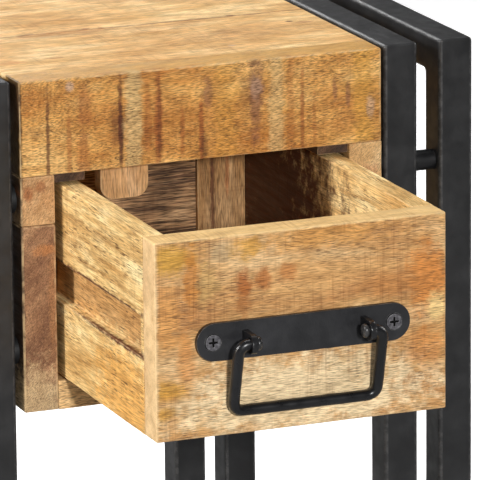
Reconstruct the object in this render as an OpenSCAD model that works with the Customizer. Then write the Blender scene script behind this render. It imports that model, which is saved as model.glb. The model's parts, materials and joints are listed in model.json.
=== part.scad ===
// Side table: a solid mango wood box with one drawer, hung between two pairs
// of welded square-tube frames.
// Origin: middle of the footprint box on the floor, with the drawer open.
// +Z is up, -Y is the drawer's front, +X is the right hand of someone facing it.

/* [Steel frames] */
// Height of the table from floor to top
table_h = 550; // [450:5:650]
// Depth of a frame, front of leg to back of leg
frame_d = 340; // [338:1:380]
// Side of the square tube
tube_w = 20; // [18:1:25]
// Wall of the square tube
tube_wall = 1.5; // [1.2:0.1:2]
// Clear width between the two inner frames
clear_w = 216; // [214:1:222]
// Gap between an inner and an outer frame
frame_gap = 13; // [8:1:25]
// Diameter of the round spacers between frames
spacer_dia = 11.5; // [8:0.5:14]
// Distance of a spacer from the frame's nearer end
spacer_inset = 69; // [50:1:90]
// Height of the plastic glides under the frames
glide_h = 3; // [2:0.5:5]

/* [Wood box] */
// Width of the wood box
box_w = 210; // [206:1:212]
// Height of the wood box, top face included
box_h = 182.5; // [182:0.5:190]
// How far the box stands in front of the legs
box_proud = 4; // [0:0.5:6]
// Height of the thick front and back edges of the top
lip_h = 52; // [50:1:54]
// Thickness of the front and back edges of the top
lip_t = 21; // [18:1:24]
// Thickness of the top boards
plank_t = 20; // [18:1:21]
// Depth of the frontmost top board
front_plank_d = 88; // [60:1:110]
// Thickness of the box sides
side_t = 19.5; // [18:0.5:20]
// Height of the upper board of each side
upper_board_h = 27; // [24:1:30]
// Thickness of the box bottom
bottom_t = 16.5; // [14:0.5:17]
// Thickness of the box back
back_t = 15; // [10:1:18]

/* [Drawer] */
// Width of the drawer
drawer_w = 164; // [160:1:165]
// Height of the drawer
drawer_h = 107; // [104:0.5:107.5]
// Depth of the drawer, front board to back board
drawer_d = 265; // [255:1:275]
// Thickness of the drawer front
drawer_front_t = 17; // [15:0.5:19]
// Thickness of the drawer sides and back
drawer_board_t = 12; // [11:0.5:13]
// Thickness of the drawer bottom
drawer_bottom_t = 6; // [5:0.5:8]
// How far the open drawer's front stands before the legs
drawer_out = 140.5; // [120:0.5:141]
// Height of the groove in each drawer side
groove_h = 22; // [18:0.5:24]
// Depth of the groove in each drawer side
groove_t = 5.7; // [5:0.1:6]

/* [Handle] */
// Length of the handle plate
plate_l = 120.5; // [110:0.5:130]
// Height of the handle plate
plate_h = 20.5; // [18:0.5:24]
// Thickness of the handle plate
plate_t = 3; // [2.5:0.1:3.5]
// Diameter of the bail's rod
rod_dia = 6.4; // [5:0.1:7]
// Distance between the bail's two legs, centre to centre
bail_w = 81; // [78:0.5:86]
// Length of the bail from its pivot to its grip
bail_l = 39.1; // [36:0.1:44]
// Distance of the bail's pivot from the drawer front
pivot_out = 13; // [12:0.5:15]

/* [Hidden] */
$fn = 48;

// Colours
steel = "#2f2f31";
light_wood = "#d9b27c";
mid_wood = "#c2935a";
brown_wood = "#8f6b4c";
plywood = "#cfae80";
screw_grey = "#8d8b90";
plastic = "#1c1c1d";

// Handle places, needed for the overall depth
lug_r = 5.5;
handle_reach = pivot_out + lug_r;

// Depths: front_y is the plane of the legs' front faces
front_y = (drawer_out + handle_reach - frame_d) / 2;
face_y = front_y - drawer_out;
box_front_y = front_y - box_proud;
box_back_y = front_y + frame_d;

// Heights
frame_h = table_h - glide_h;
lip_z = table_h - lip_h;
plank_z = table_h - plank_t;
split_z = lip_z - upper_board_h;
box_z = table_h - box_h;

// Box inside
inside_x = box_w / 2 - side_t;
plank_start_y = box_front_y + lip_t;
plank_end_y = box_back_y - lip_t;
first_seam_y = plank_start_y + front_plank_d;
second_seam_y = (first_seam_y + plank_end_y) / 2;
back_front_y = box_back_y - back_t;

// Kickers fill the height between the top edge and the drawer, less a working gap
kicker_w = 18;
kicker_t = 5;
kicker_gap = 1;
kicker_setback = 2;
drawer_top_z = lip_z - kicker_t - kicker_gap;
drawer_z = drawer_top_z - drawer_h;

// Drawer inside
drawer_x = drawer_w / 2;
drawer_inside_x = drawer_x - drawer_board_t;
sides_y = face_y + drawer_front_t;
drawer_end_y = face_y + drawer_d;
drawer_back_y = drawer_end_y - drawer_board_t;
bottom_slot_z = drawer_z + 8;
bottom_slot_t = 4;
bottom_top_z = bottom_slot_z + drawer_bottom_t;
strip_w = 29;
strip_t = 3.5;

// Side grooves and the runners in them
groove_top_z = drawer_top_z - 43.5;
groove_z = groove_top_z - groove_h;
groove_start_y = sides_y + 4;
runner_gap = 0.3;
runner_tip_gap = 0.8;
runner_start_y = front_y + 20;
runner_h = groove_h - 2 * runner_gap - 0.4;
runner_t = inside_x - drawer_x + groove_t - runner_tip_gap;

// Turn button that stops the drawer
button_w = 28;
button_t = 10;
button_x = -37.5;
button_gap = 0.3;
button_pivot_z = plank_z - 16;
button_drop = 39;
button_corner_r = 8;
button_bore_r = 2.25;
button_screw_r = 2.15;
button_screw_hole_r = 2.2;
button_screw_deep = 12;
button_y = plank_start_y + button_gap;

// Bolts between the box and the inner frames
bolt_r = 2.95;
bolt_hole_r = 3;
bolt_clear_r = 3.3;
bolt_head_r = 5.5;
bolt_head_t = 3;
bolt_recess = 3.2;
bolt_into_tube = 8;
washer_r = 8;
washer_t = (clear_w - box_w) / 2;
bolt_depths = [front_y + tube_w / 2, box_back_y - tube_w / 2];
upper_bolt_z = table_h - 66;
lower_bolt_z = table_h - 150;

// Glides
glide_r = 8;
glide_stem_r = 2.5;
glide_stem_h = 5;

// Handle
handle_z = drawer_z + drawer_h / 2 - 2;
rod_r = rod_dia / 2;
pivot_y = face_y - pivot_out;
bail_rest_gap = 0.3;
bail_lean = asin((pivot_out - rod_r - bail_rest_gap) / bail_l);
bail_bend_r = 5.5;
lug_t = 3.5;
lug_hole_r = rod_r + 0.08;
lug_side_gap = 0.4;
rivet_t = 2.6;
rivet_r = rod_r + 0.9;
lug_x = bail_w / 2 - bail_bend_r - lug_t;
hole_spread = 102;
screw_head_r = 4.3;
screw_sink_r = 4.6;
screw_shank_r = 1.95;
screw_hole_r = 2;
screw_l = 14;
cross_w = 1.2;
cross_l = 5;
cross_deep = 1.3;

// ---------- shared shapes ----------

// A box given by its lowest and highest corners
module block(low, high) {
    translate(low) cube(high - low);
}

// The same child on the left (-X) side and on the right (+X) side
module on_side(side) {
    mirror([side < 0 ? 1 : 0, 0, 0]) children();
}

// Near face of a frame's tubes, seen from the middle; ring 0 is inner, 1 outer
function ring_x(ring) = clear_w / 2 + ring * (tube_w + frame_gap);

// An outline in depth and height, made one tube wide along X
module tube_outline(points) {
    rotate([90, 0, 90]) linear_extrude(tube_w) polygon(points);
}

// A leg with mitred ends; the front one, or the rear one mirrored
module leg(side, ring, rear) {
    color(steel)
    on_side(side)
    translate([ring_x(ring), rear ? box_back_y : front_y, glide_h])
    mirror([0, rear ? 1 : 0, 0])
    difference() {
        tube_outline([[0, 0], [tube_w, tube_w], [tube_w, frame_h - tube_w], [0, frame_h]]);
        translate([tube_wall, tube_wall, -1])
            cube([tube_w - 2 * tube_wall, tube_w - 2 * tube_wall, frame_h + 2]);
        if (ring == 0)
            for (z = [upper_bolt_z, lower_bolt_z])
                translate([-1, tube_w / 2, z - glide_h])
                    rotate([0, 90, 0]) cylinder(r = bolt_hole_r, h = tube_wall + 2);
    }
}

// A top or foot rail with mitred ends; a foot rail is bored for its glides
module rail(side, ring, foot) {
    color(steel)
    on_side(side)
    translate([ring_x(ring), front_y, foot ? glide_h : glide_h + frame_h])
    mirror([0, 0, foot ? 0 : 1])
    difference() {
        tube_outline([[0, 0], [frame_d, 0], [frame_d - tube_w, tube_w], [tube_w, tube_w]]);
        translate([tube_wall, -1, tube_wall])
            cube([tube_w - 2 * tube_wall, frame_d + 2, tube_w - 2 * tube_wall]);
        if (foot)
            for (y = [tube_w / 2, frame_d - tube_w / 2])
                translate([tube_w / 2, y, -1])
                    cylinder(r = glide_stem_r, h = tube_wall + 2);
    }
}

// Four round bars that join an inner and an outer frame
module frame_spacers(side) {
    color(steel)
    on_side(side)
    for (y = bolt_depths, z = [glide_h + spacer_inset, table_h - spacer_inset])
        translate([ring_x(0) + tube_w, y, z])
            rotate([0, 90, 0]) cylinder(d = spacer_dia, h = frame_gap);
}

// Recessed clearance holes for the bolts at one height, in one side board
module bolt_holes(side, z) {
    on_side(side)
    for (y = bolt_depths)
        translate([inside_x, y, z]) rotate([0, 90, 0]) {
            translate([0, 0, -1]) cylinder(r = bolt_clear_r, h = side_t + 2);
            translate([0, 0, -1]) cylinder(r = bolt_head_r + 0.5, h = bolt_recess + 1);
        }
}

module upper_side_board(side) {
    color(light_wood)
    difference() {
        on_side(side)
            block([inside_x, box_front_y, split_z], [box_w / 2, box_back_y, lip_z]);
        bolt_holes(side, upper_bolt_z);
    }
}

module lower_side_board(side) {
    color(brown_wood)
    difference() {
        on_side(side)
            block([inside_x, box_front_y, box_z], [box_w / 2, box_back_y, split_z]);
        bolt_holes(side, lower_bolt_z);
    }
}

module top_side_rail(side) {
    color(mid_wood)
    on_side(side)
        block([inside_x, plank_start_y, lip_z], [box_w / 2, plank_end_y, plank_z]);
}

module kicker(side) {
    color(brown_wood)
    on_side(side)
        block([inside_x - kicker_w, box_front_y + kicker_setback, lip_z - kicker_t],
              [inside_x, back_front_y, lip_z]);
}

module runner(side) {
    color(mid_wood)
    on_side(side)
        block([inside_x - runner_t, runner_start_y, groove_top_z - runner_gap - runner_h],
              [inside_x, back_front_y, groove_top_z - runner_gap]);
}

module drawer_side(side) {
    color(light_wood)
    on_side(side)
    difference() {
        block([drawer_inside_x, sides_y, drawer_z], [drawer_x, drawer_end_y, drawer_top_z]);
        block([drawer_x - groove_t, groove_start_y, groove_z],
              [drawer_x + 1, drawer_end_y + 1, groove_top_z]);
        block([drawer_inside_x - 1, sides_y - 1, bottom_slot_z],
              [drawer_inside_x + bottom_slot_t, drawer_end_y + 1, bottom_top_z]);
    }
}

// ---------- steel frames ----------

module left_outer_front_leg() { leg(-1, 1, false); }
module left_outer_rear_leg() { leg(-1, 1, true); }
module left_outer_top_rail() { rail(-1, 1, false); }
module left_outer_foot_rail() { rail(-1, 1, true); }
module left_inner_front_leg() { leg(-1, 0, false); }
module left_inner_rear_leg() { leg(-1, 0, true); }
module left_inner_top_rail() { rail(-1, 0, false); }
module left_inner_foot_rail() { rail(-1, 0, true); }
module right_inner_front_leg() { leg(1, 0, false); }
module right_inner_rear_leg() { leg(1, 0, true); }
module right_inner_top_rail() { rail(1, 0, false); }
module right_inner_foot_rail() { rail(1, 0, true); }
module right_outer_front_leg() { leg(1, 1, false); }
module right_outer_rear_leg() { leg(1, 1, true); }
module right_outer_top_rail() { rail(1, 1, false); }
module right_outer_foot_rail() { rail(1, 1, true); }
module left_frame_spacers() { frame_spacers(-1); }
module right_frame_spacers() { frame_spacers(1); }

// Two plastic glides under each of the four frames
module floor_glides() {
    color(plastic)
    for (side = [-1, 1], ring = [0, 1], y = bolt_depths)
        on_side(side)
        translate([ring_x(ring) + tube_w / 2, y, 0]) {
            cylinder(r = glide_r, h = glide_h);
            cylinder(r = glide_stem_r, h = glide_h + glide_stem_h);
        }
}

// Bolts from inside the box into the inner legs, heads recessed in the side boards
module box_bolts() {
    color(screw_grey)
    for (side = [-1, 1], y = bolt_depths, z = [upper_bolt_z, lower_bolt_z])
        on_side(side)
        translate([inside_x + bolt_recess - bolt_head_t, y, z]) rotate([0, 90, 0]) {
            cylinder(r = bolt_head_r, h = bolt_head_t);
            cylinder(r = bolt_r, h = side_t + washer_t + bolt_into_tube);
        }
}

// Thick washers that hold the box off the inner legs
module box_washers() {
    color(screw_grey)
    for (side = [-1, 1], y = bolt_depths, z = [upper_bolt_z, lower_bolt_z])
        on_side(side)
        translate([box_w / 2, y, z]) rotate([0, 90, 0])
        difference() {
            cylinder(r = washer_r, h = washer_t);
            translate([0, 0, -1]) cylinder(r = bolt_clear_r, h = washer_t + 2);
        }
}

// ---------- wood box ----------

module top_front_edge() {
    color(mid_wood)
    difference() {
        block([-box_w / 2, box_front_y, lip_z], [box_w / 2, plank_start_y, table_h]);
        translate([button_x, plank_start_y + 1, button_pivot_z])
            rotate([90, 0, 0]) cylinder(r = button_screw_hole_r, h = button_screw_deep + 1);
    }
}

module top_back_edge() {
    color(mid_wood)
        block([-box_w / 2, plank_end_y, lip_z], [box_w / 2, box_back_y, table_h]);
}

// One top board between two seams
module top_plank(start_y, end_y) {
    color(light_wood)
        block([-box_w / 2, start_y, plank_z], [box_w / 2, end_y, table_h]);
}

module top_plank_front() { top_plank(plank_start_y, first_seam_y); }
module top_plank_middle() { top_plank(first_seam_y, second_seam_y); }
module top_plank_rear() { top_plank(second_seam_y, plank_end_y); }
module top_rail_left() { top_side_rail(-1); }
module top_rail_right() { top_side_rail(1); }
module left_side_upper_board() { upper_side_board(-1); }
module left_side_lower_board() { lower_side_board(-1); }
module right_side_upper_board() { upper_side_board(1); }
module right_side_lower_board() { lower_side_board(1); }

// One board of the box bottom
module bottom_plank(start_y, end_y) {
    color(mid_wood)
        block([-inside_x, start_y, box_z], [inside_x, end_y, box_z + bottom_t]);
}

module bottom_plank_front() { bottom_plank(box_front_y, front_y + frame_d / 2); }
module bottom_plank_rear() { bottom_plank(front_y + frame_d / 2, box_back_y); }

module box_back() {
    color(brown_wood)
        block([-inside_x, back_front_y, box_z + bottom_t], [inside_x, box_back_y, lip_z]);
}

module left_kicker() { kicker(-1); }
module right_kicker() { kicker(1); }
module left_runner() { runner(-1); }
module right_runner() { runner(1); }

// ---------- drawer stop ----------

// Turn button: round at the pivot, eased corners at the hanging end
module stop_button() {
    color(light_wood)
    translate([button_x, button_y + button_t, button_pivot_z])
    rotate([90, 0, 0])
    difference() {
        linear_extrude(button_t) {
            circle(r = button_w / 2);
            translate([-button_w / 2, -button_drop + button_corner_r])
                square([button_w, button_drop - button_corner_r]);
            translate([-button_w / 2 + button_corner_r, -button_drop])
                square([button_w - 2 * button_corner_r, button_corner_r + 1]);
            for (sx = [-1, 1])
                translate([sx * (button_w / 2 - button_corner_r), -button_drop + button_corner_r])
                    circle(r = button_corner_r);
        }
        translate([0, 0, -1]) cylinder(r = button_bore_r, h = button_t + 2);
    }
}

// Round-head screw that the button turns on, driven into the top's front edge
module stop_button_screw() {
    color(screw_grey)
    translate([button_x, button_y + button_t + button_gap, button_pivot_z])
    rotate([90, 0, 0]) {
        translate([0, 0, -2.5]) cylinder(r = 4.5, h = 2.5);
        cylinder(r = button_screw_r, h = button_t + 2 * button_gap + button_screw_deep - 1);
    }
}

// ---------- drawer ----------

module drawer_front() {
    color(light_wood)
    difference() {
        block([-drawer_x, face_y, drawer_z], [drawer_x, sides_y, drawer_top_z]);
        block([-drawer_inside_x - bottom_slot_t, sides_y - bottom_slot_t, bottom_slot_z],
              [drawer_inside_x + bottom_slot_t, sides_y + 1, bottom_top_z]);
        for (sx = [-1, 1])
            translate([sx * hole_spread / 2, face_y - 1, handle_z])
                rotate([-90, 0, 0]) cylinder(r = screw_hole_r, h = screw_l);
    }
}

module drawer_left_side() { drawer_side(-1); }
module drawer_right_side() { drawer_side(1); }

module drawer_back() {
    color(brown_wood)
        block([-drawer_inside_x, drawer_back_y, bottom_top_z],
              [drawer_inside_x, drawer_end_y, drawer_top_z]);
}

// Bottom panel, held in slots in the front and the sides, under the back
module drawer_bottom() {
    color(plywood)
        block([-drawer_inside_x - bottom_slot_t, sides_y - bottom_slot_t, bottom_slot_z],
              [drawer_inside_x + bottom_slot_t, drawer_end_y, bottom_top_z]);
}

// Upright strips glued into the two back corners of the drawer
module drawer_corner_strips() {
    color(light_wood)
    for (side = [-1, 1])
        on_side(side)
        block([drawer_inside_x - strip_w, drawer_back_y - strip_t, bottom_top_z],
              [drawer_inside_x, drawer_back_y, drawer_top_z]);
}

// ---------- handle ----------

// Flat plate with full-round ends and two countersunk holes
module handle_plate() {
    color(steel)
    translate([0, face_y, handle_z])
    rotate([90, 0, 0])
    difference() {
        linear_extrude(plate_t) {
            square([plate_l - plate_h, plate_h], center = true);
            for (sx = [-1, 1])
                translate([sx * (plate_l - plate_h) / 2, 0]) circle(d = plate_h);
        }
        for (sx = [-1, 1])
            translate([sx * hole_spread / 2, 0, 0]) {
                translate([0, 0, -1]) cylinder(r = screw_hole_r + 0.2, h = plate_t + 2);
                cylinder(r1 = screw_hole_r + 0.2, r2 = screw_sink_r, h = plate_t);
            }
    }
}

// Two ears welded to the plate, bored for the bail
module handle_lugs() {
    color(steel)
    for (side = [-1, 1])
        on_side(side)
        translate([lug_x, pivot_y, handle_z])
        rotate([90, 0, 90])
        difference() {
            linear_extrude(lug_t) {
                circle(r = lug_r);
                translate([0, -lug_r]) square([pivot_out - plate_t, 2 * lug_r]);
            }
            translate([0, 0, -1]) cylinder(r = lug_hole_r, h = lug_t + 2);
        }
}

// A quarter bend of the bail's rod, from along +X to along -Z
module rod_bend() {
    translate([0, 0, -bail_bend_r]) rotate([90, 0, 0])
        rotate_extrude(angle = 90) translate([bail_bend_r, 0]) circle(r = rod_r);
}

// Half of the bail: riveted end, pivot, bend, leg, bend, half of the grip
module bail_half() {
    leg_l = bail_l - 2 * bail_bend_r;
    bend_x = bail_w / 2 - bail_bend_r;
    rivet_x = lug_x - lug_side_gap - rivet_t;
    translate([rivet_x, 0, 0]) rotate([0, 90, 0]) cylinder(r = rivet_r, h = rivet_t);
    translate([rivet_x, 0, 0]) rotate([0, 90, 0]) cylinder(r = rod_r, h = bend_x - rivet_x);
    translate([bend_x, 0, 0]) rod_bend();
    translate([bail_w / 2, 0, -bail_bend_r - leg_l]) cylinder(r = rod_r, h = leg_l);
    translate([bend_x, 0, -bail_l]) mirror([0, 0, 1]) rod_bend();
    translate([0, 0, -bail_l]) rotate([0, 90, 0]) cylinder(r = rod_r, h = bend_x);
}

// The bail hangs on the lugs and leans back until its grip is at the drawer front
module handle_bail() {
    color(steel)
    translate([0, pivot_y, handle_z])
    rotate([bail_lean, 0, 0])
    for (side = [-1, 1])
        on_side(side) bail_half();
}

// Countersunk cross-head screws through the plate into the drawer front
module handle_screws() {
    color(screw_grey)
    for (sx = [-1, 1])
        translate([sx * hole_spread / 2, face_y - plate_t, handle_z])
        rotate([-90, 0, 0])
        difference() {
            union() {
                translate([0, 0, -0.3]) cylinder(r = screw_head_r, h = 0.3);
                cylinder(r1 = screw_head_r, r2 = screw_shank_r, h = plate_t - 0.2);
                cylinder(r = screw_shank_r, h = screw_l);
            }
            for (turn = [0, 90])
                rotate([0, 0, turn])
                    translate([-cross_l / 2, -cross_w / 2, -0.3 - 1])
                        cube([cross_l, cross_w, cross_deep + 1]);
        }
}

left_outer_front_leg();
left_outer_rear_leg();
left_outer_top_rail();
left_outer_foot_rail();
left_inner_front_leg();
left_inner_rear_leg();
left_inner_top_rail();
left_inner_foot_rail();
right_inner_front_leg();
right_inner_rear_leg();
right_inner_top_rail();
right_inner_foot_rail();
right_outer_front_leg();
right_outer_rear_leg();
right_outer_top_rail();
right_outer_foot_rail();
left_frame_spacers();
right_frame_spacers();
floor_glides();
box_bolts();
box_washers();
top_front_edge();
top_back_edge();
top_plank_front();
top_plank_middle();
top_plank_rear();
top_rail_left();
top_rail_right();
left_side_upper_board();
left_side_lower_board();
right_side_upper_board();
right_side_lower_board();
bottom_plank_front();
bottom_plank_rear();
box_back();
left_kicker();
right_kicker();
left_runner();
right_runner();
stop_button();
stop_button_screw();
drawer_front();
drawer_left_side();
drawer_right_side();
drawer_back();
drawer_bottom();
drawer_corner_strips();
handle_plate();
handle_lugs();
handle_bail();
handle_screws();
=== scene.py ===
import json
import math

import bmesh
import bpy
from mathutils import Matrix, Vector, noise

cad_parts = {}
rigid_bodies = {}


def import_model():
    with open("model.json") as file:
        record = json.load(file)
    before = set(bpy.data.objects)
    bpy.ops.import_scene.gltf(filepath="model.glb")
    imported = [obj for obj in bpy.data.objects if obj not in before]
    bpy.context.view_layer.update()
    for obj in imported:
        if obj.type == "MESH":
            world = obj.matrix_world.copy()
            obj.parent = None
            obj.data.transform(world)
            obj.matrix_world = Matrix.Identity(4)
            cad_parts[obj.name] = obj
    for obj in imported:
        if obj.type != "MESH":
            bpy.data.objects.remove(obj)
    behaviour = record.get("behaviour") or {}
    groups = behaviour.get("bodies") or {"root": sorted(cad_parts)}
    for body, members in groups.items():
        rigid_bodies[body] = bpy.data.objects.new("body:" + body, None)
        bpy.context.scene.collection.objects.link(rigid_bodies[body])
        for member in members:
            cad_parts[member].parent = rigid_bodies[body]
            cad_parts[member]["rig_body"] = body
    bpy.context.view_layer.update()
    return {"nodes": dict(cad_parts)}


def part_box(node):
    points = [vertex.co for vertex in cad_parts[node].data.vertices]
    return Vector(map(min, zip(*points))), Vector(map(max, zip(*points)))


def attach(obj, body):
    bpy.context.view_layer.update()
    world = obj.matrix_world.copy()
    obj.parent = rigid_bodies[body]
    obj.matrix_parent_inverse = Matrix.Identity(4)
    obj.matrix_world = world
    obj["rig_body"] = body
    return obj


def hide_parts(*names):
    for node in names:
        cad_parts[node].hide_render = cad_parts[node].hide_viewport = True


# A side table: the looks of each of its pieces, then a floor, lamps and a camera.
# Lengths are in metres, written as millimetres times MM, and shaders work in millimetres.

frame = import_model()
NODES = frame["nodes"]
MM = 0.001


# ---------- colours and shader graphs ----------

def rgb(red, green, blue):
    """A display colour, 0 to 255 a channel, as the linear colour that shaders take."""
    linear = []
    for value in (red, green, blue):
        share = value / 255
        low = share <= 0.04045
        linear.append(share / 12.92 if low else ((share + 0.055) / 1.055) ** 2.4)
    return (*linear, 1.0)


class Graph:
    """A short way to build one material's nodes."""

    def __init__(self, name):
        self.material = bpy.data.materials.new(name)
        self.material.use_nodes = True
        self.nodes = self.material.node_tree.nodes
        self.links = self.material.node_tree.links
        self.nodes.clear()
        self.output = self.nodes.new("ShaderNodeOutputMaterial")
        self.shader = self.nodes.new("ShaderNodeBsdfPrincipled")
        self.links.new(self.shader.outputs[0], self.output.inputs[0])

    def put(self, value, socket):
        if isinstance(value, bpy.types.NodeSocket):
            self.links.new(value, socket)
        else:
            socket.default_value = value

    def feed(self, name, value):
        """Gives a value or a link to one of the shader's inputs."""
        self.put(value, self.shader.inputs[name])

    def add(self, kind, inputs=(), out=0, **settings):
        node = self.nodes.new(kind)
        for key, value in settings.items():
            setattr(node, key, value)
        for key, value in dict(inputs).items():
            self.put(value, node.inputs[key])
        return node.outputs[out]

    def math(self, operation, first, second=0.0):
        return self.add("ShaderNodeMath", {0: first, 1: second}, operation=operation)

    def vector(self, operation, first, second=(0, 0, 0), out=0):
        return self.add("ShaderNodeVectorMath", {0: first, 1: second},
                        operation=operation, out=out)

    def spread(self, value, low, high, to_low=0.0, to_high=1.0):
        """value from low..high to to_low..to_high, smoothly, held at the ends."""
        return self.add("ShaderNodeMapRange",
                        {0: value, 1: low, 2: high, 3: to_low, 4: to_high},
                        interpolation_type="SMOOTHSTEP")

    def noise(self, vector, detail=2.0, rough=0.5):
        """Noise with one wave a unit of vector."""
        return self.add("ShaderNodeTexNoise", {"Vector": vector, "Scale": 1.0,
                                               "Detail": detail, "Roughness": rough})

    def even(self, vector, scale, **settings):
        """Noise with so many waves a unit, the same on every axis."""
        return self.noise(self.stretch(vector, (scale, scale, scale)), **settings)

    def stretch(self, vector, scales, offset=(0, 0, 0)):
        return self.add("ShaderNodeMapping",
                        {"Vector": vector, "Scale": scales, "Location": offset})

    def parts(self, vector):
        """The three numbers of a vector."""
        node = self.nodes.new("ShaderNodeSeparateXYZ")
        self.links.new(vector, node.inputs[0])
        return node.outputs

    def mix(self, share, first, second, blend="MIX"):
        node = self.nodes.new("ShaderNodeMix")
        node.data_type = "RGBA"
        node.blend_type = blend
        self.put(share, node.inputs[0])
        self.put(first, node.inputs[6])
        self.put(second, node.inputs[7])
        return node.outputs[2]

    def ramp(self, value, stops):
        node = self.nodes.new("ShaderNodeValToRGB")
        self.put(value, node.inputs[0])
        elements = node.color_ramp.elements
        while len(elements) < len(stops):
            elements.new(0.5)
        for element, (place, colour) in zip(elements, stops):
            element.position = place
            element.color = colour
        return node.outputs[0]

    def place(self):
        """Where a point is in the row frame at rest, in millimetres."""
        point = self.add("ShaderNodeTexCoord", out=3)
        return self.vector("MULTIPLY", point, (1000, 1000, 1000))

    def bump(self, height, strength, depth):
        normal = self.add("ShaderNodeBump",
                          {"Strength": strength, "Distance": depth, "Height": height})
        self.feed("Normal", normal)

    def arris(self):
        """1 on the eased edges of a piece and 0 elsewhere."""
        return self.add("ShaderNodeAttribute", attribute_name="arris", out=2)


SEED_STEP = (137.0, 71.0, 211.0)


def shift_of(seed):
    """A place far from the others in the noise, for one piece."""
    return tuple(seed * step for step in SEED_STEP)


# ---------- wood ----------

# The order of the axes that puts the one along the grain first
AXES = {"X": (0, 1, 2), "Y": (1, 0, 2), "Z": (2, 1, 0)}
# The growth rings' turn about the grain, and how much flatter they are than round
RING_TURN = math.radians(42)
RING_FLAT = 0.35
# Waves of noise a millimetre, along the grain and across it
DRIFT = 0.011
BROAD = (0.016, 0.06)
RING_LONG = 0.010
STREAKS = (0.035, 1.1)
FIBRES = (0.15, 2.2)
PORES = (0.18, 2.0)
SHINE = (0.03, 0.5)
# The same on three axes, and the noise's shift
MOTTLE = ((0.06, 0.16, 0.16), (5, 1, 4))
SAW_MARKS = ((0.50, 0.02, 0.02), (0, 0, 0))
SAW_PLACES = ((0.03, 0.03, 0.03), (40, 7, 3))
PORE_CROWDS = ((0.02, 0.07, 0.07), (9, 2, 5))
# Ragged rims of stains: waves a millimetre, and their reach in half sizes of the stain
RAGGED = 0.16
RAGGED_BY = 2.4
# Pale places of eased edges, partly wear and partly painted highlight: waves a millimetre, and
# the most that shows
RUBBED_AND_HIGHLIGHT = 0.2
RUBBED_HIGHLIGHT_SHARE = 0.5
# Shades in linear colour
SAW_SHADE = (0.40, 0.22, 0.14, 1)
PORE_COLOUR = (0.10, 0.045, 0.018, 1)
DULL = (0.82, 0.79, 0.75, 1)
BRIGHT = (1.14, 1.16, 1.18, 1)


def along_grain(graph, point, axis):
    """The point as (along the grain, across it, across it)."""
    parts = graph.parts(point)
    return graph.add("ShaderNodeCombineXYZ", {i: parts[k] for i, k in enumerate(AXES[axis])})


def scaled_from(graph, point, centre, half):
    """The point measured from a centre in half sizes; an axis of half size 0 is left out."""
    sizes = tuple(1 / h if h else 0.0 for h in half)
    start = tuple(-c / h if h else 0.0 for c, h in zip(centre, half))
    return graph.stretch(point, sizes, start)


def drifted(graph, point, axis, wave, rise, hills, shifted):
    """The point as (along, across, across) after the grain's wander, turned so that the
    growth rings cross every face at a slant. The grain lines climb by rise, and hills
    push them up around a place: (centre, half sizes, height in mm)."""
    drift = graph.even(shifted, DRIFT, detail=1.0)
    drift = graph.math("MULTIPLY", graph.math("SUBTRACT", drift, 0.5), wave * 2)
    for centre, half, height in hills:
        away = graph.vector("LENGTH", scaled_from(graph, point, centre, half), out=1)
        drift = graph.math("ADD", drift, graph.spread(away, 1.0, 0.0, 0.0, -height))
    along, across, deep = graph.parts(along_grain(graph, shifted, axis))
    drift = graph.math("SUBTRACT", drift, graph.math("MULTIPLY", along, rise))
    moved = graph.add("ShaderNodeCombineXYZ",
                      {0: along, 1: graph.math("ADD", across, drift),
                       2: graph.math("ADD", deep, drift)})
    return graph.add("ShaderNodeMapping", {"Vector": moved, "Rotation": (RING_TURN, 0, 0)})


def grain(graph, flow, along, across, shift=(0, 0, 0), **settings):
    """A noise drawn out along the grain and flattened like growth rings."""
    scales = (along, across, across * RING_FLAT)
    return graph.noise(graph.stretch(flow, scales, shift), **settings)


def stained(graph, colour, point, shifted, stains):
    """Adds a board's stains, and painted shade and light listed with them: (centre and half sizes
    in mm, colour, share).
    """
    ragged = graph.even(shifted, RAGGED, detail=4.0, rough=0.72)
    ragged = graph.math("MULTIPLY", graph.math("SUBTRACT", ragged, 0.5), RAGGED_BY)
    for centre, half, tint, amount in stains:
        away = graph.vector("LENGTH", scaled_from(graph, point, centre, half), out=1)
        away = graph.math("ADD", away, ragged)
        colour = graph.mix(graph.spread(away, 1.35, 0.45, 0.0, amount), colour, tint)
    return colour


def board_tones(graph, flow, tones, figure, line, crisp, fine):
    """The broad colour of a board, then its growth lines, then lighter streaks."""
    deep, middle, pale = tones
    broad = grain(graph, flow, *BROAD, detail=3.0, rough=0.62)
    colour = graph.ramp(broad, [(0.32, deep), (0.50, middle), (0.66, pale)])
    rings = grain(graph, flow, RING_LONG, line, detail=3.0, rough=0.6)
    rings = graph.spread(rings, 0.55 - crisp, 0.55 + crisp, 0.0, figure)
    colour = graph.mix(rings, colour, deep)
    streaks = grain(graph, flow, STREAKS[0], STREAKS[1] * fine, detail=2.0, rough=0.6)
    return graph.mix(graph.spread(streaks, 0.5, 0.75, 0.0, 0.35), colour, pale)


def mottled(graph, flow, colour):
    """Soft mottling, as of light on uneven fibres."""
    mottle = graph.noise(graph.stretch(flow, *MOTTLE), detail=3.0, rough=0.6)
    return graph.mix(1.0, colour, graph.ramp(mottle, [(0.30, DULL), (0.70, BRIGHT)]), "MULTIPLY")


def saw_marks(graph, flow, shifted):
    """1 in the saw marks, which cross the grain in places, and 0 elsewhere."""
    marks = graph.noise(graph.stretch(flow, *SAW_MARKS), detail=2.0, rough=0.75)
    places = graph.noise(graph.stretch(shifted, *SAW_PLACES), detail=2.0)
    places = graph.spread(places, 0.44, 0.60)
    return graph.math("MULTIPLY", graph.spread(marks, 0.45, 0.74), places)


def fibre_shade(graph, fibres, fibre):
    """The shade of the fine fibres, darker and lighter than 1."""
    low, high = 1 - fibre * 1.9, 1 + fibre * 1.4
    return graph.ramp(fibres, [(0.32, (low, low * 0.96, low * 0.92, 1)), (0.50, (1, 1, 1, 1)),
                               (0.68, (high, high * 1.02, high * 1.05, 1))])


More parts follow.
